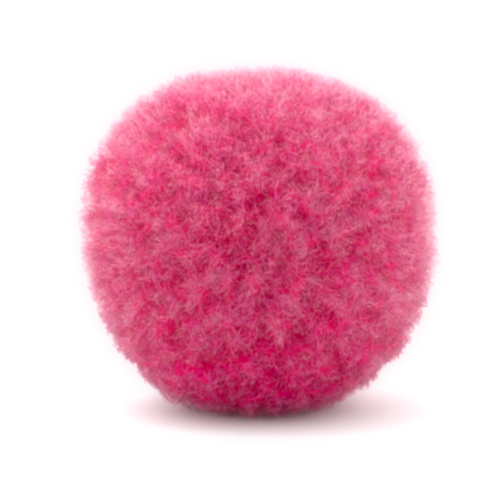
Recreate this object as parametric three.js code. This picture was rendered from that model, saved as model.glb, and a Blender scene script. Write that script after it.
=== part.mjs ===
// A plush pom-pom: cut fibre that radiates from its tied middle and is trimmed to a soft, slightly
// square ball. The pile is one solid. Its locks stand apart all round, widen outwards as the fibres
// fan out, and are fused at their roots into the packed mass in the middle.
// Millimetres, +Z up. The origin is on the floor, at the middle of the small flat spot that the ball
// rests on, and the front of the ball faces -Y.

import * as THREE from "three";
import { ConvexGeometry } from "three/addons/geometries/ConvexGeometry.js";

// Driving dimensions
const REACH = 12.45; // mean reach of the pile from the middle of the ball
const MIDDLE_HEIGHT = 12.15; // of the ball above the floor: the pile gives a little under it
const PACKED_SHARE = 0.7; // share of the reach within which the fibres are one packed mass
const WHORLS = 50; // points spread evenly over the ball, which the locks gather round
const LOCK_GAP = 0.45; // between neighbouring locks at their shoulders
const SHOULDER_DROP = 1.1; // how far a lock's shoulder lies under its tip: the pile thins out over it
const TIP_SHARE = 0.36; // width of a lock's tip, as a share of its shoulder
const FOOT_DROP = 0.4; // the shoulder of a lock that stands on the floor, above the floor
const FOOT_SHARE = 0.72; // width of such a lock's flat foot, as a share of its shoulder
const STANDS_BELOW = 0.35; // a lock whose tip would come this near the floor is built to stand on it

// How uneven the pile is
const WHORL_WANDER = 3; // how far a whorl strays from its spiral before the whorls are spread out
const PUSHES = 30; // steps in which the whorls push each other apart
const PUSH = 0.0025; // how hard, for whorls one radius apart
const WANDER = 0.55; // how far a corner between locks strays from its place among the whorls
const TRIM = 0.22; // how far a lock is cut longer or shorter than the ball
const LEAN = 0.3; // how far a lock's tip leans to one side

// Chance: which draw each use takes, and large uneven numbers that mix a direction into a draw
const DRAW = { corner: 1, trim: 7, lean: 11, whorl: 21 };
const MIX_AXIS = new THREE.Vector3(12.99, 78.23, 37.72);
const MIX_STEP = 4.1;
const MIX_GAIN = 437.58;

// Where the trimmed ball swells or dips. bearing is degrees round +Z from +X, which is on the right
// of the front view, height is degrees above the middle, and spread is how wide the swell is.
const SWELLS = [
  { bearing: 0, height: 30, rise: 0.6, spread: 15 }, // upper right
  { bearing: 0, height: 58, rise: 0.25, spread: 8 },
  { bearing: 0, height: 90, rise: -0.3, spread: 17 }, // flattish top
  { bearing: 180, height: 50, rise: 0.65, spread: 13 }, // upper left
  { bearing: 180, height: 19, rise: 0.65, spread: 10 },
  { bearing: 180, height: -14, rise: -0.1, spread: 10 },
  { bearing: 180, height: -50, rise: 0.35, spread: 12 }, // lower left
  { bearing: 0, height: -14, rise: 0.3, spread: 9 },
  { bearing: 0, height: -41, rise: 0.55, spread: 13 }, // lower right
  { bearing: 270, height: 4, rise: -0.25, spread: 15 }, // middle of the front
  { bearing: 232, height: 34, rise: 0.35, spread: 15 },
  { bearing: 310, height: 28, rise: 0.3, spread: 16 },
  { bearing: 240, height: -32, rise: 0.3, spread: 15 },
  { bearing: 305, height: -30, rise: 0.3, spread: 14 },
  { bearing: 90, height: 10, rise: -0.2, spread: 16 }, // middle of the back
  { bearing: 52, height: 36, rise: 0.4, spread: 15 },
  { bearing: 128, height: 30, rise: 0.35, spread: 16 },
  { bearing: 60, height: -34, rise: 0.35, spread: 15 },
  { bearing: 122, height: -28, rise: 0.3, spread: 14 },
];

const PINK = new THREE.Color(0.79, 0.09, 0.27);

const MIDDLE = new THREE.Vector3(0, 0, MIDDLE_HEIGHT);
const DOWN = new THREE.Vector3(0, 0, -1);

// The direction that lies at this bearing and height, in degrees.
function directionAt(bearing, height) {
  const polar = THREE.MathUtils.degToRad(90 - height);
  const turn = THREE.MathUtils.degToRad(bearing);
  return new THREE.Vector3(
    Math.sin(polar) * Math.cos(turn),
    Math.sin(polar) * Math.sin(turn),
    Math.cos(polar),
  );
}

// How far the trimmed ball reaches from its middle in this direction.
function reachAlong(direction) {
  return SWELLS.reduce((reach, { bearing, height, rise, spread }) => {
    const apart = THREE.MathUtils.radToDeg(direction.angleTo(directionAt(bearing, height)));
    return reach + rise * Math.exp(-0.5 * (apart / spread) ** 2);
  }, REACH);
}

// A number from -1 to 1 that looks random, is the same each time and differs from draw to draw.
function uneven(direction, draw) {
  const wave = Math.sin(direction.dot(MIX_AXIS) + MIX_STEP * draw) * MIX_GAIN;
  return 2 * (wave - Math.floor(wave)) - 1;
}

// This direction, strayed sideways by up to a distance at the end of the pile.
function strayed(direction, distance, draw) {
  const step = new THREE.Vector3(
    uneven(direction, draw),
    uneven(direction, draw + 1),
    uneven(direction, draw + 2),
  );
  return direction.clone().addScaledVector(step, distance / REACH).normalize();
}

const meanDirection = (directions) =>
  directions.reduce((sum, direction) => sum.add(direction), new THREE.Vector3()).normalize();

// Directions all over a ball, down a spiral that turns by the golden angle at each step.
function spiralDirections(count) {
  const goldenTurn = Math.PI * (3 - Math.sqrt(5));
  return Array.from({ length: count }, (_, step) => {
    const height = 1 - (2 * step + 1) / count;
    const ring = Math.sqrt(1 - height ** 2);
    return new THREE.Vector3(
      ring * Math.cos(goldenTurn * step),
      ring * Math.sin(goldenTurn * step),
      height,
    );
  });
}

// This direction, pushed away from the others, the nearest ones most.
function pushedApart(direction, others) {
  const pushed = direction.clone();
  for (const other of others) {
    const away = direction.clone().sub(other);
    const apart = away.length();
    if (apart > 0) pushed.addScaledVector(away, PUSH / apart ** 4);
  }
  return pushed.normalize();
}

// The whorls: spread about evenly, but in no rows.
function whorlDirections() {
  let whorls = spiralDirections(WHORLS).map((even) => strayed(even, WHORL_WANDER, DRAW.whorl));
  for (let push = 0; push < PUSHES; push++) {
    whorls = whorls.map((whorl) => pushedApart(whorl, whorls));
  }
  return whorls;
}

// The four corners of each lock, as directions. The whorls are joined into triangles, and each
// triangle is shared out among three locks, which meet in the middle of it. The whole ball is turned
// so that one lock points straight down.
function lockCorners() {
  const joined = new ConvexGeometry(whorlDirections()).getAttribute("position");
  const whorlAt = (index) => new THREE.Vector3().fromBufferAttribute(joined, index).normalize();
  const locks = [];
  for (let first = 0; first < joined.count; first += 3) {
    const triangle = [whorlAt(first), whorlAt(first + 1), whorlAt(first + 2)];
    triangle.forEach((corner, side) => {
      const [next, last] = [triangle[(side + 1) % 3], triangle[(side + 2) % 3]];
      locks.push([
        corner,
        meanDirection([corner, next]),
        meanDirection(triangle),
        meanDirection([corner, last]),
      ]);
    });
  }
  const lowest = locks.map(meanDirection).reduce((a, b) => (a.z < b.z ? a : b));
  const turn = new THREE.Quaternion().setFromUnitVectors(lowest, DOWN);
  return locks.map((corners) =>
    corners.map((corner) => strayed(corner.clone().applyQuaternion(turn), WANDER, DRAW.corner)),
  );
}

const pointAlong = (direction, distance) => MIDDLE.clone().addScaledVector(direction, distance);

// The point in this direction that lies at a height above the floor, under the middle of the ball.
function pointAtHeight(direction, height) {
  const point = pointAlong(direction, (height - MIDDLE_HEIGHT) / direction.z);
  point.z = height;
  return point;
}

// Four rings of four points, from the ground between locks up to a lock's tip.
function lockRings(corners, pitch) {
  const middle = meanDirection(corners);
  const drawnIn = (direction, towards, share) => direction.clone().lerp(towards, share).normalize();
  const sides = corners.map((corner) => drawnIn(corner, middle, LOCK_GAP / pitch));
  const length = reachAlong(middle) + TRIM * uneven(middle, DRAW.trim);
  const stands = MIDDLE_HEIGHT + length * middle.z < STANDS_BELOW;
  const leant = stands ? middle : strayed(middle, LEAN, DRAW.lean);
  const tipShare = stands ? FOOT_SHARE : TIP_SHARE;
  const tips = sides.map((side) => drawnIn(side, leant, 1 - tipShare));
  const packed = (direction) => pointAlong(direction, PACKED_SHARE * reachAlong(direction));
  return [
    corners.map(packed),
    sides.map(packed),
    sides.map((side) =>
      stands ? pointAtHeight(side, FOOT_DROP) : pointAlong(side, length - SHOULDER_DROP),
    ),
    tips.map((tip) => (stands ? pointAtHeight(tip, 0) : pointAlong(tip, length))),
  ];
}

// The pile's closed surface: for each lock its ground, its walls, its rounded shoulder and its tip.
function pileGeometry() {
  const positions = [];
  const addQuad = (a, b, c, d) => [a, b, c, a, c, d].forEach((p) => positions.push(p.x, p.y, p.z));
  const locks = lockCorners();
  const pitch = REACH * Math.sqrt((4 * Math.PI) / locks.length);
  for (const corners of locks) {
    const rings = lockRings(corners, pitch);
    for (let ring = 0; ring + 1 < rings.length; ring++) {
      const [low, high] = [rings[ring], rings[ring + 1]];
      for (let side = 0; side < 4; side++) {
        const next = (side + 1) % 4;
        addQuad(low[side], low[next], high[next], high[side]);
      }
    }
    addQuad(...rings.at(-1));
  }
  const geometry = new THREE.BufferGeometry();
  geometry.setAttribute("position", new THREE.Float32BufferAttribute(positions, 3));
  geometry.computeVertexNormals();
  return geometry;
}

const fibre = new THREE.MeshStandardMaterial({ color: PINK, roughness: 0.9, metalness: 0 });
const pile = new THREE.Mesh(pileGeometry(), fibre);
pile.name = "pile";

const pomPom = new THREE.Group();
pomPom.add(pile);

export default pomPom;
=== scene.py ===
"""The looks of a plush pom-pom: a felted under-fur of soft lumps, and on it well over a hundred thousand
single crimped fibres that gather in wisps, on a plain white floor in soft studio light.

Lengths are in metres, in the part's own frame. MM turns a size in millimetres into metres.
"""

import math
from dataclasses import dataclass

import bmesh
import bpy
import numpy as np
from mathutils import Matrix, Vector, noise
from mathutils.bvhtree import BVHTree
from mathutils.kdtree import KDTree


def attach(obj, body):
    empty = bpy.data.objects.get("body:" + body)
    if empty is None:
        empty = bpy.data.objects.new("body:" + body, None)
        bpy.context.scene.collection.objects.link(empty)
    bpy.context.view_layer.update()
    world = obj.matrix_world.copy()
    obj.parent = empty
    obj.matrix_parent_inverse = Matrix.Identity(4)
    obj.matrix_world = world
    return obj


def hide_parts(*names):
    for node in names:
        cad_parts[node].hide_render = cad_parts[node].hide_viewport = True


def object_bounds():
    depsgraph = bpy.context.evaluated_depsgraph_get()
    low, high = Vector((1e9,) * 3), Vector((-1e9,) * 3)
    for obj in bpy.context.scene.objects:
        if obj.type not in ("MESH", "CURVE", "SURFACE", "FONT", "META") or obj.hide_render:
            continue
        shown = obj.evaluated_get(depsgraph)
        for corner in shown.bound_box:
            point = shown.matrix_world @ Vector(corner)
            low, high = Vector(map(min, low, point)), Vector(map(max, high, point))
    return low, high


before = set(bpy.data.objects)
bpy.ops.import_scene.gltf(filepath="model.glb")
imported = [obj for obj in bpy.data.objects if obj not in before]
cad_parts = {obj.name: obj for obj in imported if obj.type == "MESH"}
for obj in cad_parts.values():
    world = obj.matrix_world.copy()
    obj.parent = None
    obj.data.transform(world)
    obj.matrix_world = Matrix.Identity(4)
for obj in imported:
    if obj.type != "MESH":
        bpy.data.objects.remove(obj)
cad_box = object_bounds()

MM = 0.001

# The ball: its middle is the middle of its box, and its form is the reach of the solid's locks.
# A height on the ball goes from -1 at its bottom to 1 at its top.
NODE = "pile"
RIDES_ON = "root"
MIDDLE = (cad_box[0] + cad_box[1]) / 2
CORNER = 0.3 * MM  # how much further the loose ends reach at the upper corners of the front view
PRESSED = 0.3 * MM  # how much further they reach at the floor, where the ball's weight spreads them
PRESSED_AT = -0.9  # the height of that ring on the ball
PRESSED_OVER = 0.16  # and how far it fades out above and below
PRESSED_RIGHT = 0.8  # how much more it spreads on the right of the front view, and less on the left
LOW_FROM = -0.15  # the height on the ball below which the pile is matted down
LOW_TO = -0.75  # and the height where it is matted most
LOW_SHARE = 0.45  # of its depth that the loose outer layer of the pile keeps there
FLOOR_CLEAR = 0.05 * MM  # how far the under-fur and the middles of the fibres stay above the floor

# Lumps: the uneven puffs and pits of the pile
LUMP_SIZE = 1.0 * MM
LUMP_OCTAVES = 4  # layers of ever finer unevenness
LUMP_FINER = 2.0  # how much finer each layer is than the one before
LUMP_ROUGHNESS = 0.7  # how fast the finer layers fade
LUMP_SPAN = 0.33  # the size of a typical rise in the noise, which counts as 1
LUMP_LIMIT = 1.6  # the highest puff and the deepest pit
LUMP_RISE = 0.29 * MM  # how high a typical puff stands
PUFF_LIGHT_PIT_SHADE = 0.85  # how much paler the fibres of a typical puff are, and deeper those in a pit: painted light on puffs, painted shade in pits

# Wisps: the small strands in the pile, whose fibres lie side by side
WISP_COUNT = 6500
WISP_STRAY = 1.6  # how far a wisp strays from an even spread, as a share of the pitch
WISP_LEAN = 0.9  # how far it leans to one side, as a share of its length
WISP_TINT = 0.92  # how far a fibre has the tint of its wisp, and not its own

# Fibres: what all their kinds share
FIBRE_STRAY = 4.0  # how far a fibre strays from an even spread, as a share of the pitch
PUFF_TRIES = 3  # places that a fibre that grows on puffs chooses from
SHORTEST = 0.1 * MM  # the shortest fibre
LEAST_RISE = 0.2  # a fibre that rises less than this share of its length is taken to rise by it
THICKNESS_SHARES = (0.75, 1.25)  # the thinnest and the thickest fibre, as shares of its kind's thickness
TAPER = 0.7  # how thick the last ring of a fibre is, as a share of the first
SOFTNESS = 1.0  # how far the light on a fibre is that on the ball, and not on a lone round strand
TINT_LIMITS = (0.02, 0.98)  # the deepest and the palest tint that a fibre can have

# Maps: on its map each fibre is a narrow upright strip, placed by its tint
MAP_NAME = "OFBake"
MAP_STRIP = 0.006  # half the width of the strip
MAP_SKEW = 0.015  # how far the middle of a ring lies above its sides, so that no triangle is flat there
MAP_START = 0.01  # the height of the root
MAP_SPAN = 0.97  # from the root up to the tip

# Fibre finish and painted light: what all their materials share. The places go from 0 at the root to 1 at
# the tip.
COLOUR_PLACES = (0.0, 0.6, 1.0)  # of the three colours along a fibre, deep at the root as painted shade inside the pile and pale at the tip as painted light
FIBRE_ROUGHNESS = (0.5, 0.3)  # at the root and at the tip
FIBRE_GLOSS = 0.3
FIBRE_SHEEN_ROUGHNESS = 0.5
FIBRE_SHEEN_TINT = (1.0, 0.82, 0.88)
DEEP_SHINE = 0.25  # how much the deepest tint takes on the colour of a thin tip, where the palest has 1

# Under-fur: the soft lumpy mass that shows between the fibres. Its colours go from pits to puffs, deeper in
# the pits as painted shade.
UNDERFUR_SPLITS = 6  # how finely it is split: one more makes four triangles of each
UNDERFUR_DEPTH = 1.1 * MM  # below the ends of the pile
UNDERFUR_NAP = 0.1 * MM  # how rough its surface is
UNDERFUR_COLOURS = (
    (0.4, (0.48, 0.001, 0.05)),
    (0.8, (0.56, 0.002, 0.075)),
    (1.0, (0.62, 0.004, 0.11)),
)
UNDERFUR_ROUGHNESS = (0.8, 1.0)
UNDERFUR_GLOSS = 0.1
UNDERFUR_SHEEN = 0.05
UNDERFUR_SHEEN_ROUGHNESS = 0.4
UNDERFUR_SHEEN_TINT = (1.0, 0.7, 0.82)
GRAIN_SCALE = 2500  # how fine the grain of its felt is, in grains a metre
GRAIN_DETAIL = 6  # layers of ever finer grain
GRAIN_SHARE = 0.6  # how much the grain counts for its colour, beside the lumps
GRAIN_RANGE = (0.3, 0.7)  # what counts as no grain and as the most of it for its roughness
LIFT = "lift"  # the name of the mesh's own record of its lumps, from 0 in a pit to 1 on a puff, which gives its colour painted shade in the pits


@dataclass
class Kind:
    """A kind of fibre. Its highest point lies short of the end of the pile by a chance amount."""

    name: str
    count: int
    pieces: int  # joined meshes that it is shared out over
    rings: int  # rings of three points along a fibre, before its last point
    thick: float
    root: float  # how deep it starts below the end of the pile
    short: float  # how far below the end of the pile it typically comes
    spread: float  # how much that differs
    longest: float
    domed: float  # share of the lumps that its end follows
    on_puffs: float  # from 0, grows all over, to 1, grows on the puffs and not in the pits
    lean: float  # how far it leans to any side at its root, as a share of its length
    curl: tuple  # the least and the most that it turns along its length, in radians
    wispy: float  # share of its wisp's lean and bend that it takes on
    gather: float  # share of the way to the middle of its wisp that its tip goes
    matted: float  # how much shorter it is just above the floor
    tint: tuple  # the least and the most where the pile is level, from 0, deep, to 1, pale
    blunt: bool = False  # widens outwards to a cut end, instead of narrowing to a point

    @property
    def steps(self):
        """The places along a fibre of its rings and its last point, from 0 to 1."""
        return np.linspace(0, 1, self.rings + 1)


# The pile itself: thick crimped fibres
BODY = Kind(
    name="body_fibres", count=36000, pieces=2, rings=2, thick=0.082 * MM,
    root=1.2 * MM, short=0.42 * MM, spread=0.25 * MM, longest=1.5 * MM, domed=1.0, on_puffs=0.0,
    lean=1.4, curl=(0.8, 2.8), wispy=0.7, gather=0.65, matted=0.0, tint=(-0.15, 0.95),
)
# Finer curls between them
WISP = Kind(
    name="wisp_fibres", count=6000, pieces=1, rings=3, thick=0.035 * MM,
    root=0.85 * MM, short=0.3 * MM, spread=0.2 * MM, longest=1.1 * MM, domed=1.0, on_puffs=0.8,
    lean=1.6, curl=(1.4, 3.6), wispy=0.5, gather=0.5, matted=0.1 * MM, tint=(-0.1, 0.65),
)
# The thin pale veil over the ends of the pile, whose paleness is partly painted sheen
DOWN = Kind(
    name="down_fibres", count=90000, pieces=2, rings=1, thick=0.011 * MM,
    root=0.5 * MM, short=-0.25 * MM, spread=0.35 * MM, longest=1.1 * MM, domed=0.8, on_puffs=0.8,
    lean=0.5, curl=(0.05, 0.4), wispy=0.4, gather=0.25, matted=0.3 * MM, tint=(-0.1, 1.0), blunt=True,
)
# Longer fine hairs, which make the rim soft
FUZZ = Kind(
    name="fuzz_fibres", count=9000, pieces=1, rings=3, thick=0.019 * MM,
    root=0.5 * MM, short=-0.4 * MM, spread=0.35 * MM, longest=1.7 * MM, domed=0.4, on_puffs=0.5,
    lean=0.9, curl=(1.0, 3.5), wispy=0.3, gather=0.0, matted=0.4 * MM, tint=(0.6, 1.0),
)
# The few long pale curls that stand out of the pile
STRAY = Kind(
    name="stray_fibres", count=600, pieces=1, rings=5, thick=0.04 * MM,
    root=0.8 * MM, short=-0.1 * MM, spread=0.3 * MM, longest=1.8 * MM, domed=0.2, on_puffs=0.0,
    lean=1.2, curl=(0.8, 2.6), wispy=0.0, gather=0.0, matted=0.1 * MM, tint=(0.8, 1.0),
)

# Camera: the photograph's frame and the ball's place in it are in pixels
FRAME_SIDE = 500
BALL_AT = (259, 238)
PIXEL = 0.0714 * MM  # the real size of a pixel at the ball
CAMERA_ELEVATION = 9.0  # degrees
CAMERA_DISTANCE = 0.30
SENSOR = 36.0  # the width of the camera's sensor, in the camera's own millimetres

# Floor
FLOOR_HALF = 3.0  # half the length of its sides
FLOOR_COLOUR = (0.68, 0.68, 0.68)
FLOOR_ROUGHNESS = 0.8
FLOOR_GLOSS = 0.2

# Light: white walls that are bright at the sides, less so far behind the ball and dim on the side of the
# camera, a ceiling that is less bright too, and a soft disc lamp above the ball on its left. Each range
# says where one gives way to the next: FRONT_RANGE and BACK_RANGE go from -1, towards the camera, to 1,
# away from it, and CEILING_RANGE from 0, level, to 1, overhead.
WALLS = 4.1
FRONT = 0.7
FRONT_RANGE = (-0.9, -0.2)
BACK_SHARE = 0.55  # of the walls' light that is left far behind the ball
BACK_RANGE = (0.3, 0.95)
CEILING = 2.6
CEILING_RANGE = (0.35, 0.8)
LAMP_AT = (-0.16, 0.05, 0.37)
LAMP_SIZE = 0.30
LAMP_POWER = 0.8  # watts

# Lens: the width of each blur that its glow is made of, in pixels, and the share of it in the picture
LENS_GLOW = ((60, 0.04), (24, 0.27))
PIXEL_BLUR = 2.7  # the width of the filter that smooths the picture, in pixels

# Camera's tone: what it takes for black, and how much it brightens the rest to make up for that
BLACK_POINT = 0.018
GAIN = 1.03

# How often light is followed from fibre to fibre, in all, by reflection and by shining through
BOUNCES = 20
DIFFUSE_BOUNCES = 6
SHINE_BOUNCES = 16

# Chance: every draw comes from one seeded source, in the same order each time
SEED = 20
chance = np.random.default_rng(SEED)


def unit(vectors):
    """These vectors at length one."""
    return vectors / np.linalg.norm(vectors, axis=-1, keepdims=True)


def spread_directions(count, stray):
    """Directions all over a ball, down a golden spiral, each strayed by a share of the pitch."""
    step = np.arange(count) + 0.5
    height = 1 - 2 * step / count
    turn = step * math.pi * (3 - math.sqrt(5))
    ring = np.sqrt(1 - height**2)
    even = np.stack([ring * np.cos(turn), ring * np.sin(turn), height], axis=1)
    pitch = math.sqrt(4 * math.pi / count)
    return unit(even + chance.normal(0, stray * pitch / 2, (count, 3)))


def square_to(directions):
    """For each direction a chance direction that is square to it."""
    return unit(np.cross(directions, unit(chance.normal(0, 1, directions.shape))))


def hull_tree(node):
    """A search tree of the taut skin round the ends of a node's locks."""
    hull = bmesh.new()
    hull.from_mesh(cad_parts[node].data)
    made = bmesh.ops.convex_hull(hull, input=hull.verts)
    inside = [v for v in made["geom_interior"] if isinstance(v, bmesh.types.BMVert)]
    bmesh.ops.delete(hull, geom=inside, context="VERTS")
    loose = [e for e in hull.edges if not e.link_faces]
    bmesh.ops.delete(hull, geom=loose, context="EDGES")
    tree = BVHTree.FromBMesh(hull)
    hull.free()
    return tree


def reach_along(skin, directions):
    """How far the pile reaches from the ball's middle in each direction: as far as the skin of the
    solid, and a little further at the upper corners, 45 degrees up, and just above the floor."""
    hull = np.array([skin.ray_cast(MIDDLE, Vector(d))[3] for d in directions])
    corner = 4 * directions[:, 0] ** 2 * np.maximum(directions[:, 2], 0) ** 2
    pressed = np.exp(-(((directions[:, 2] - PRESSED_AT) / PRESSED_OVER) ** 2))
    pressed *= 1 + PRESSED_RIGHT * directions[:, 0]
    return hull + CORNER * corner + PRESSED * pressed


def lumps_at(directions):
    """How lumpy the pile is in each direction, from below 0 in a pit to above 0 on a puff."""
    places = [Vector(d) * (MIDDLE.z / LUMP_SIZE) for d in directions]
    height = [noise.fractal(place, LUMP_ROUGHNESS, LUMP_FINER, LUMP_OCTAVES) for place in places]
    return np.clip(np.array(height) / LUMP_SPAN, -LUMP_LIMIT, LUMP_LIMIT)


def low_down(directions):
    """From 0 high up on the ball to 1 just above the floor."""
    return np.clip((LOW_FROM - directions[:, 2]) / (LOW_FROM - LOW_TO), 0, 1)


def looseness(directions):
    """How deep the loose outer layer of the pile is, as a share of its depth high up on the ball."""
    return 1 - (1 - LOW_SHARE) * low_down(directions)


def kept_off_floor(points):
    """These points, with those that would come under the floor laid on it."""
    lifted = points.copy()
    lifted[..., 2] = np.maximum(points[..., 2], FLOOR_CLEAR)
    return lifted


class Wisps:
    """The strands that the fibres gather in: where each one is, its lean, its bend and its tint."""

    def __init__(self, count):
        self.middles = spread_directions(count, WISP_STRAY)
        self.lean = square_to(self.middles) * np.abs(chance.normal(0, WISP_LEAN, (count, 1)))
        self.bend = square_to(self.middles)
        self.tint = chance.random(count)
        self.tree = KDTree(count)
        for index, middle in enumerate(self.middles):
            self.tree.insert(middle, index)
        self.tree.balance()

    def nearest(self, directions):
        """The nearest wisp to each direction."""
        return np.array([self.tree.find(d)[1] for d in directions])


def mesh_piece(name, material, points, faces, corner_map, corner_normals=None):
    """A smooth piece of the pile, from arrays, which rides on the part's body."""
    mesh = bpy.data.meshes.new(name)
    mesh.from_pydata(points, [], faces)
    mesh.uv_layers.new(name=MAP_NAME).data.foreach_set("uv", corner_map.astype(np.float32).ravel())
    mesh.shade_smooth()
    if corner_normals is not None:
        mesh.normals_split_custom_set(corner_normals)
    mesh.materials.append(material)
    piece = bpy.data.objects.new(name, mesh)
    bpy.context.scene.collection.objects.link(piece)
    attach(piece, RIDES_ON)
    return piece


def growing_places(kind):
    """The directions in which the fibres of a kind grow, and how lumpy the pile is there. A fibre
    that likes puffs takes the highest of a few places."""
    tries = [spread_directions(kind.count, FIBRE_STRAY) for _ in range(PUFF_TRIES)]
    lumps = [lumps_at(directions) for directions in tries]
    choosy = chance.random(kind.count) < kind.on_puffs
    best = np.where(choosy, np.argmax(lumps, axis=0), 0)
    fibre = np.arange(kind.count)
    return np.array(tries)[best, fibre], np.array(lumps)[best, fibre]


def fibre_arcs(kind, directions, wisps, wisp):
    """The way of each fibre from its root, for a length of one. It leaves the root leaning to a side,
    partly with its wisp, and bends on along an arc."""
    own_lean = square_to(directions) * np.abs(chance.normal(0, kind.lean, (kind.count, 1)))
    heading = unit(directions + kind.wispy * wisps.lean[wisp] + own_lean)
    bend = kind.wispy * wisps.bend[wisp] + (1 - kind.wispy) * square_to(heading)
    aside = unit(bend - heading * np.sum(bend * heading, axis=1, keepdims=True))
    curl = chance.uniform(*kind.curl, (kind.count, 1))
    ahead = np.sin(curl * kind.steps) / curl
    over = (1 - np.cos(curl * kind.steps)) / curl
    return heading[:, None] * ahead[..., None] + aside[:, None] * over[..., None]


def fibre_lengths(kind, directions, arcs):
    """How long each fibre is, so that the highest point of its arc comes as high as it should."""
    rises = np.max(np.einsum("nsk,nk->ns", arcs, directions), axis=1)
    wanted = looseness(directions) * (kind.root - chance.normal(kind.short, kind.spread, kind.count))
    wanted -= kind.matted * low_down(directions)
    return np.clip(wanted / np.maximum(rises, LEAST_RISE), SHORTEST, kind.longest)


def fibre_paths(kind, directions, reach, wisps, wisp):
    """The points along each fibre, from its root to its tip, which goes towards its wisp."""
    arcs = fibre_arcs(kind, directions, wisps, wisp)
    lengths = fibre_lengths(kind, directions, arcs)
    roots = np.array(MIDDLE) + directions * (reach - kind.root * looseness(directions))[:, None]
    off_wisp = (directions - wisps.middles[wisp]) * reach[:, None]
    gathered = kind.gather * off_wisp[:, None] * (kind.steps**2)[:, None]
    return kept_off_floor(roots[:, None] + arcs * lengths[:, None, None] - gathered)


def fibre_tints(kind, lump, wisp_tint):
    """The tint of each fibre: mostly that of its wisp, and paler on a puff than in a pit, as painted light
    on the puffs and painted shade in the pits.
    """
    low, high = kind.tint
    mixed = WISP_TINT * wisp_tint + (1 - WISP_TINT) * chance.random(kind.count)
    return np.clip(low + (high - low) * mixed + PUFF_LIGHT_PIT_SHADE * lump, *TINT_LIMITS)


def fibre_rings(paths):
    """Three even directions round each fibre, at every point along it but the last."""
    along = unit(np.gradient(paths, axis=1))
    side = unit(np.cross(along, unit(chance.normal(0, 1, (len(paths), 1, 3)))))
    across = np.cross(along, side)
    turns = np.arange(3) * 2 * math.pi / 3
    return side[:, :-1, None] * np.cos(turns)[:, None] + across[:, :-1, None] * np.sin(turns)[:, None]


def fibre_points(paths, rings, thick):
    """The points of each fibre: its rings, which taper, and then the last point of its path."""
    taper = np.linspace(1, TAPER, rings.shape[1])[:, None, None]
    sections = paths[:, :-1, None] + rings * taper * thick[:, None, None, None] / 2
    return np.concatenate([sections.reshape(len(paths), -1, 3), paths[:, -1:]], axis=1)


def fibre_maps(tints, steps):
    """Where the points of each fibre lie on the map: across it by tint, up it by place along the fibre."""
    rings = len(steps) - 1
    strip = np.append(np.tile([-MAP_STRIP, 0.0, MAP_STRIP], rings), 0.0)
    places = np.append(np.repeat(steps[:-1], 3) + np.tile([0.0, MAP_SKEW, 0.0], rings), steps[-1])
    across = strip + tints[:, None]
    return np.stack([across, np.broadcast_to(MAP_START + MAP_SPAN * places, across.shape)], axis=-1)


def fibre_faces(rings):
    """The triangles of one closed three-sided fibre, which ends in a point after its rings."""
    faces = [(0, 2, 1)]
    for first in range(0, 3 * (rings - 1), 3):
        for side in range(3):
            a, b = first + side, first + (side + 1) % 3
            faces += [(a, b, b + 3), (a, b + 3, a + 3)]
    last = 3 * (rings - 1)
    tip = 3 * rings
    faces += [(last + side, last + (side + 1) % 3, tip) for side in range(3)]
    return np.array(faces)


def fibre_normals(rings, outward, faces):
    """The normals at the corners of each fibre: those of a round strand, drawn outwards from the ball
    so that the pile takes the light softly. Each of the last three faces has its own at the tip."""
    soft = unit(rings + SOFTNESS * outward[:, None, None])
    tip_sides = unit(soft[:, -1] + np.roll(soft[:, -1], -1, axis=1))
    normals = np.concatenate([soft.reshape(len(rings), -1, 3), tip_sides], axis=1)
    corners = faces.copy()
    corners[-3:, 2] += np.arange(3)
    return normals[:, corners]


def fibre_arrays(paths, steps, thick, tints, outward):
    """Points, triangles, corner map and corner normals of fibres along these paths. A path is thickest
    where it starts: at the root, or at the cut end of a blunt fibre, whose steps run down to 0."""
    rings = fibre_rings(paths)
    points = fibre_points(paths, rings, thick)
    fibre = fibre_faces(rings.shape[1])
    count, per_fibre = points.shape[:2]
    faces = (fibre + np.arange(count)[:, None, None] * per_fibre).reshape(-1, 3)
    corner_map = fibre_maps(tints, steps).reshape(-1, 2)[faces]
    corner_normals = fibre_normals(rings, outward, fibre).reshape(-1, 3)
    return points.reshape(-1, 3), faces, corner_map, corner_normals


def make_fibres(kind, material, skin, wisps):
    """The fibres of a kind as joined meshes, one for each share of the bearings round the ball."""
    directions, lump = growing_places(kind)
    wisp = wisps.nearest(directions)
    reach = reach_along(skin, directions) + kind.domed * LUMP_RISE * lump
    paths = fibre_paths(kind, directions, reach, wisps, wisp)
    thick = kind.thick * chance.uniform(*THICKNESS_SHARES, kind.count)
    tints = fibre_tints(kind, lump, wisps.tint[wisp])
    steps = kind.steps
    if kind.blunt:
        paths, steps = paths[:, ::-1], steps[::-1]
    order = np.argsort(np.arctan2(directions[:, 1], directions[:, 0]))
    for number, share in enumerate(np.array_split(order, kind.pieces), start=1):
        arrays = fibre_arrays(paths[share], steps, thick[share], tints[share], directions[share])
        mesh_piece(f"{kind.name}_{number}", material, *arrays)


def even_ball():
    """The points, triangles and corner map of a finely split ball of radius one."""
    ball = bmesh.new()
    net = ball.loops.layers.uv.new("net")
    bmesh.ops.create_icosphere(ball, subdivisions=UNDERFUR_SPLITS, radius=1.0, calc_uvs=True)
    ball.verts.index_update()
    points = np.array([v.co for v in ball.verts])
    faces = np.array([[v.index for v in f.verts] for f in ball.faces])
    corner_map = np.array([loop[net].uv for f in ball.faces for loop in f.loops])
    ball.free()
    return points, faces, corner_map


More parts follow.
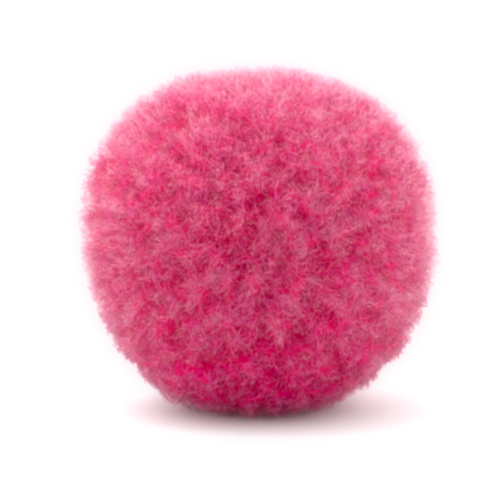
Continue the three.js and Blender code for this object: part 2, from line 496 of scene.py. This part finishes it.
def make_underfur(material, skin):
    """The lumpy mass under the fibres, which stands for the solid of the pile."""
    ball, faces, corner_map = even_ball()
    directions = unit(ball)
    lump = lumps_at(directions)
    reach = reach_along(skin, directions) + LUMP_RISE * lump - UNDERFUR_DEPTH * looseness(directions)
    points = kept_off_floor(np.array(MIDDLE) + directions * reach[:, None])
    piece = mesh_piece("underfur", material, points, faces, corner_map)
    # the lumps are kept on the mesh for the painted shade in the pits of its colour
    lift = piece.data.attributes.new(LIFT, "FLOAT", "POINT")
    lift.data.foreach_set("value", 0.5 + 0.5 * lump / LUMP_LIMIT)
    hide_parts(NODE)


def node_in(tree, kind, **settings):
    """A new node with these settings, in the nodes of a material, the world or the picture."""
    node = tree.nodes.new(kind)
    for name, value in settings.items():
        setattr(node, name, value)
    return node


def map_range(tree, value, source, target, interpolation="SMOOTHSTEP"):
    """The output of a node that maps this value from one range to another."""
    node = node_in(tree, "ShaderNodeMapRange", interpolation_type=interpolation)
    node.inputs["From Min"].default_value, node.inputs["From Max"].default_value = source
    node.inputs["To Min"].default_value, node.inputs["To Max"].default_value = target
    tree.links.new(value, node.inputs["Value"])
    return node.outputs["Result"]


def product(tree, first, second):
    """The output of a node that multiplies these two values."""
    node = node_in(tree, "ShaderNodeMath", operation="MULTIPLY")
    tree.links.new(first, node.inputs[0])
    tree.links.new(second, node.inputs[1])
    return node.outputs["Value"]


def colour_ramp(tree, value, stops):
    """The output of a node that turns this value into a colour, by these (place, colour) stops."""
    ramp = node_in(tree, "ShaderNodeValToRGB")
    elements = ramp.color_ramp.elements
    while len(elements) < len(stops):
        elements.new(0.5)
    for element, (place, colour) in zip(elements, stops):
        element.position = place
        element.color = (*colour, 1.0)
    tree.links.new(value, ramp.inputs["Fac"])
    return ramp.outputs["Color"]


def new_material(name):
    """An empty node material and its output node."""
    material = bpy.data.materials.new(name)
    material.use_nodes = True
    material.node_tree.nodes.clear()
    output = node_in(material.node_tree, "ShaderNodeOutputMaterial")
    return material, output


def soft_surface(tree, gloss, sheen, sheen_roughness, sheen_tint):
    """A surface shader with this gloss and sheen, which are the same all over."""
    surface = node_in(tree, "ShaderNodeBsdfPrincipled")
    surface.inputs["Specular IOR Level"].default_value = gloss
    surface.inputs["Sheen Weight"].default_value = sheen
    surface.inputs["Sheen Roughness"].default_value = sheen_roughness
    surface.inputs["Sheen Tint"].default_value = (*sheen_tint, 1)
    return surface


def fibre_place(tree):
    """The outputs for the tint of a fibre and for the place along it."""
    uv = node_in(tree, "ShaderNodeUVMap", uv_map=MAP_NAME)
    split = node_in(tree, "ShaderNodeSeparateXYZ")
    tree.links.new(uv.outputs["UV"], split.inputs["Vector"])
    return split.outputs["X"], split.outputs["Y"]


def fibre_dye_and_shade(tree, tint, along, deep, pale):
    """The output for the colour of a fibre, between its deepest and its palest colours, with painted shade
    deep at the root and painted light pale at the tip.
    """
    dye_and_shade = node_in(tree, "ShaderNodeMix", data_type="RGBA")
    tree.links.new(tint, dye_and_shade.inputs["Factor"])
    for socket, colours in (("A", deep), ("B", pale)):
        ramp = colour_ramp(tree, along, list(zip(COLOUR_PLACES, colours)))
        tree.links.new(ramp, dye_and_shade.inputs[socket])
    return dye_and_shade.outputs["Result"]


def fibre_surface(tree, along, dye_and_shade, sheen):
    """The output for the surface of a fibre, which is smoother towards its tip."""
    surface = soft_surface(tree, FIBRE_GLOSS, sheen, FIBRE_SHEEN_ROUGHNESS, FIBRE_SHEEN_TINT)
    roughness = map_range(tree, along, (0, 1), FIBRE_ROUGHNESS, "LINEAR")
    tree.links.new(roughness, surface.inputs["Roughness"])
    tree.links.new(dye_and_shade, surface.inputs["Base Color"])
    return surface.outputs["BSDF"]


def fibre_shine(tree, tint, along, dye_and_shade, thin):
    """The output for the light that shines through a fibre. It has the colour thin at a pale tip."""
    paler = map_range(tree, tint, (0, 1), (DEEP_SHINE, 1), "LINEAR")
    colour = node_in(tree, "ShaderNodeMix", data_type="RGBA")
    colour.inputs["B"].default_value = (*thin, 1)
    tree.links.new(product(tree, along, paler), colour.inputs["Factor"])
    tree.links.new(dye_and_shade, colour.inputs["A"])
    shine = node_in(tree, "ShaderNodeBsdfTranslucent")
    tree.links.new(colour.outputs["Result"], shine.inputs["Color"])
    return shine.outputs["BSDF"]


def fibre_material(name, deep, pale, thin, through, sheen):
    """Acrylic fibre. deep and pale are its colours from root to tip in the deepest and the palest tint,
    which carry painted shade deep at the root and painted light pale at the tip,
    thin is the colour of the light that shines through its tip, through is how much of the light
    shines through it, and sheen is how strong the bloom of its fine nap is."""
    material, output = new_material(name)
    tree = material.node_tree
    tint, along = fibre_place(tree)
    dye_and_shade = fibre_dye_and_shade(tree, tint, along, deep, pale)
    both = node_in(tree, "ShaderNodeMixShader")
    both.inputs["Fac"].default_value = through
    tree.links.new(fibre_surface(tree, along, dye_and_shade, sheen), both.inputs[1])
    tree.links.new(fibre_shine(tree, tint, along, dye_and_shade, thin), both.inputs[2])
    tree.links.new(both.outputs["Shader"], output.inputs["Surface"])
    return material


def body_material():
    """The crimson and pink of the pile itself, darker at the root as painted shade and paler at the tip as
    painted light.
    """
    return fibre_material(
        "pink_fibre",
        deep=((0.60, 0.002, 0.075), (0.74, 0.005, 0.14), (0.93, 0.08, 0.34)),
        pale=((0.66, 0.004, 0.12), (0.90, 0.075, 0.36), (0.99, 0.50, 0.77)),
        thin=(0.98, 0.52, 0.73),
        through=0.3,
        sheen=0.1,
    )


def curl_material():
    """The rose of the finer curls, darker at the root as painted shade and paler at the tip as painted
    light.
    """
    return fibre_material(
        "rose_fibre",
        deep=((0.64, 0.004, 0.11), (0.88, 0.07, 0.33), (0.97, 0.25, 0.53)),
        pale=((0.68, 0.01, 0.15), (0.93, 0.22, 0.49), (0.99, 0.48, 0.70)),
        thin=(0.98, 0.65, 0.80),
        through=0.25,
        sheen=0.25,
    )


def down_material():
    """The pale pink of the veil, the fuzz and the stray curls, which light shines through. Their pale tips
    are partly painted sheen, the white bloom of light on fibres at the rim.
    """
    return fibre_material(
        "pale_down",
        deep=((0.62, 0.004, 0.11), (0.86, 0.02, 0.22), (0.95, 0.14, 0.36)),
        pale=((0.70, 0.02, 0.20), (0.96, 0.44, 0.61), (0.985, 0.77, 0.78)),
        thin=(0.98, 0.80, 0.81),
        through=0.8,
        sheen=1.0,
    )


def felt_grain(tree):
    """The output for the fine grain of the felt."""
    place = node_in(tree, "ShaderNodeTexCoord")
    grain = node_in(tree, "ShaderNodeTexNoise")
    grain.inputs["Scale"].default_value = GRAIN_SCALE
    grain.inputs["Detail"].default_value = GRAIN_DETAIL
    tree.links.new(place.outputs["Object"], grain.inputs["Vector"])
    return grain.outputs["Fac"]


def felt_colour_and_pit_shade(tree, grain):
    """The output for the colour of the felt, by its grain, and by its lumps for painted shade in the pits.
    """
    lift = node_in(tree, "ShaderNodeAttribute", attribute_name=LIFT)
    height = node_in(tree, "ShaderNodeMath", operation="MULTIPLY_ADD")
    height.inputs[1].default_value = GRAIN_SHARE
    tree.links.new(grain, height.inputs[0])
    tree.links.new(lift.outputs["Fac"], height.inputs[2])
    return colour_ramp(tree, height.outputs["Value"], UNDERFUR_COLOURS)


def underfur_material():
    """Felted fibre: deep crimson, deepest in the pits and a little lighter on the puffs as painted shade,
    with a faint sheen.
    """
    material, output = new_material("crimson_underfur")
    tree = material.node_tree
    grain = felt_grain(tree)
    bump = node_in(tree, "ShaderNodeBump")
    bump.inputs["Distance"].default_value = UNDERFUR_NAP
    tree.links.new(grain, bump.inputs["Height"])
    surface = soft_surface(
        tree, UNDERFUR_GLOSS, UNDERFUR_SHEEN, UNDERFUR_SHEEN_ROUGHNESS, UNDERFUR_SHEEN_TINT
    )
    roughness = map_range(tree, grain, GRAIN_RANGE, UNDERFUR_ROUGHNESS)
    tree.links.new(roughness, surface.inputs["Roughness"])
    tree.links.new(bump.outputs["Normal"], surface.inputs["Normal"])
    tree.links.new(felt_colour_and_pit_shade(tree, grain), surface.inputs["Base Color"])
    tree.links.new(surface.outputs["BSDF"], output.inputs["Surface"])
    return material


def floor_material():
    """Matt and pale, so that the light makes it white."""
    material, output = new_material("white_floor")
    surface = node_in(material.node_tree, "ShaderNodeBsdfPrincipled")
    surface.inputs["Base Color"].default_value = (*FLOOR_COLOUR, 1)
    surface.inputs["Roughness"].default_value = FLOOR_ROUGHNESS
    surface.inputs["Specular IOR Level"].default_value = FLOOR_GLOSS
    material.node_tree.links.new(surface.outputs["BSDF"], output.inputs["Surface"])
    return material


def make_floor():
    """A wide plain floor under the ball."""
    low, high = -FLOOR_HALF, FLOOR_HALF
    mesh = bpy.data.meshes.new("floor")
    mesh.from_pydata([(low, low, 0), (high, low, 0), (high, high, 0), (low, high, 0)], [], [(0, 1, 2, 3)])
    mesh.materials.append(floor_material())
    floor = bpy.data.objects.new("floor", mesh)
    bpy.context.scene.collection.objects.link(floor)


def make_walls():
    """The white walls and the ceiling, as a world whose light differs with the direction."""
    world = bpy.data.worlds.new("studio")
    world.use_nodes = True
    tree = world.node_tree
    place = node_in(tree, "ShaderNodeTexCoord")
    split = node_in(tree, "ShaderNodeSeparateXYZ")
    tree.links.new(place.outputs["Generated"], split.inputs["Vector"])
    depth, height = split.outputs["Y"], split.outputs["Z"]
    walls = map_range(tree, height, CEILING_RANGE, (WALLS, CEILING))
    back = map_range(tree, depth, BACK_RANGE, (1, BACK_SHARE))
    strength = node_in(tree, "ShaderNodeMix", data_type="FLOAT")
    strength.inputs["A"].default_value = FRONT
    tree.links.new(map_range(tree, depth, FRONT_RANGE, (0, 1)), strength.inputs["Factor"])
    tree.links.new(product(tree, walls, back), strength.inputs["B"])
    background = tree.nodes["Background"]
    background.inputs["Color"].default_value = (1, 1, 1, 1)
    tree.links.new(strength.outputs["Result"], background.inputs["Strength"])
    bpy.context.scene.world = world


def make_lamp():
    """The soft lamp above the ball, which shines on its middle."""
    lamp = bpy.data.lights.new("overhead", "AREA")
    lamp.shape = "DISK"
    lamp.size = LAMP_SIZE
    lamp.energy = LAMP_POWER
    light = bpy.data.objects.new("overhead", lamp)
    light.location = LAMP_AT
    light.rotation_euler = (light.location - MIDDLE).to_track_quat("Z", "Y").to_euler()
    light.visible_camera = False
    bpy.context.scene.collection.objects.link(light)


def make_camera():
    """A long lens a little above the ball, framed as in the photograph."""
    data = bpy.data.cameras.new("camera")
    data.sensor_width = SENSOR
    data.lens = SENSOR * CAMERA_DISTANCE / (FRAME_SIDE * PIXEL)
    camera = bpy.data.objects.new("camera", data)
    elevation = math.radians(CAMERA_ELEVATION)
    back = Vector((0, -math.cos(elevation), math.sin(elevation)))
    right = Vector((1, 0, 0))
    up = right.cross(-back)
    aim = MIDDLE.copy()
    aim -= right * (BALL_AT[0] - FRAME_SIDE / 2) * PIXEL
    aim += up * (BALL_AT[1] - FRAME_SIDE / 2) * PIXEL
    camera.location = aim + back * CAMERA_DISTANCE
    camera.rotation_euler = (-back).to_track_quat("-Z", "Y").to_euler()
    bpy.context.scene.collection.objects.link(camera)
    bpy.context.scene.camera = camera


def clipped_picture(tree):
    """The output for the rendered picture, in which nothing is brighter than white."""
    clip = node_in(tree, "CompositorNodeMixRGB", use_clamp=True)
    clip.inputs["Fac"].default_value = 0.0
    tree.links.new(node_in(tree, "CompositorNodeRLayers").outputs["Image"], clip.inputs[1])
    return clip.outputs["Image"]


def with_glow(tree, picture):
    """The output for this picture with wide blurred copies of it, each mixed into it by a share."""
    glowing = picture
    for width, share in LENS_GLOW:
        blur = node_in(tree, "CompositorNodeBlur", filter_type="FAST_GAUSS", size_x=width, size_y=width)
        tree.links.new(picture, blur.inputs["Image"])
        mix = node_in(tree, "CompositorNodeMixRGB")
        mix.inputs["Fac"].default_value = share
        tree.links.new(glowing, mix.inputs[1])
        tree.links.new(blur.outputs["Image"], mix.inputs[2])
        glowing = mix.outputs["Image"]
    return glowing


def with_tone(tree, picture):
    """The output for this picture with the black point taken off it and the rest brightened."""
    toned = picture
    for blend, level in (("SUBTRACT", BLACK_POINT), ("MULTIPLY", GAIN)):
        step = node_in(tree, "CompositorNodeMixRGB", blend_type=blend)
        step.inputs[2].default_value = (level, level, level, 1)
        tree.links.new(toned, step.inputs[1])
        toned = step.outputs["Image"]
    return toned


def make_picture():
    """The glow that a lens spreads from the white floor over the rim of the ball, and the camera's tone."""
    scene = bpy.context.scene
    scene.use_nodes = True
    tree = scene.node_tree
    tree.nodes.clear()
    picture = with_tone(tree, with_glow(tree, clipped_picture(tree)))
    tree.links.new(picture, node_in(tree, "CompositorNodeComposite").inputs["Image"])


def set_look():
    """Plain display of colours, a smooth picture, and enough bounces for light to sink into the pile."""
    scene = bpy.context.scene
    scene.view_settings.view_transform = "Standard"
    scene.cycles.use_denoising = True
    scene.cycles.filter_width = PIXEL_BLUR
    scene.cycles.max_bounces = BOUNCES
    scene.cycles.diffuse_bounces = DIFFUSE_BOUNCES
    scene.cycles.transmission_bounces = SHINE_BOUNCES


def make_pile():
    """The under-fur and all the fibres on it."""
    skin = hull_tree(NODE)
    wisps = Wisps(WISP_COUNT)
    downy = down_material()
    make_underfur(underfur_material(), skin)
    make_fibres(BODY, body_material(), skin, wisps)
    make_fibres(WISP, curl_material(), skin, wisps)
    make_fibres(DOWN, downy, skin, wisps)
    make_fibres(FUZZ, downy, skin, wisps)
    make_fibres(STRAY, downy, skin, wisps)


make_camera()
make_floor()
make_walls()
make_lamp()
make_picture()
set_look()
make_pile()
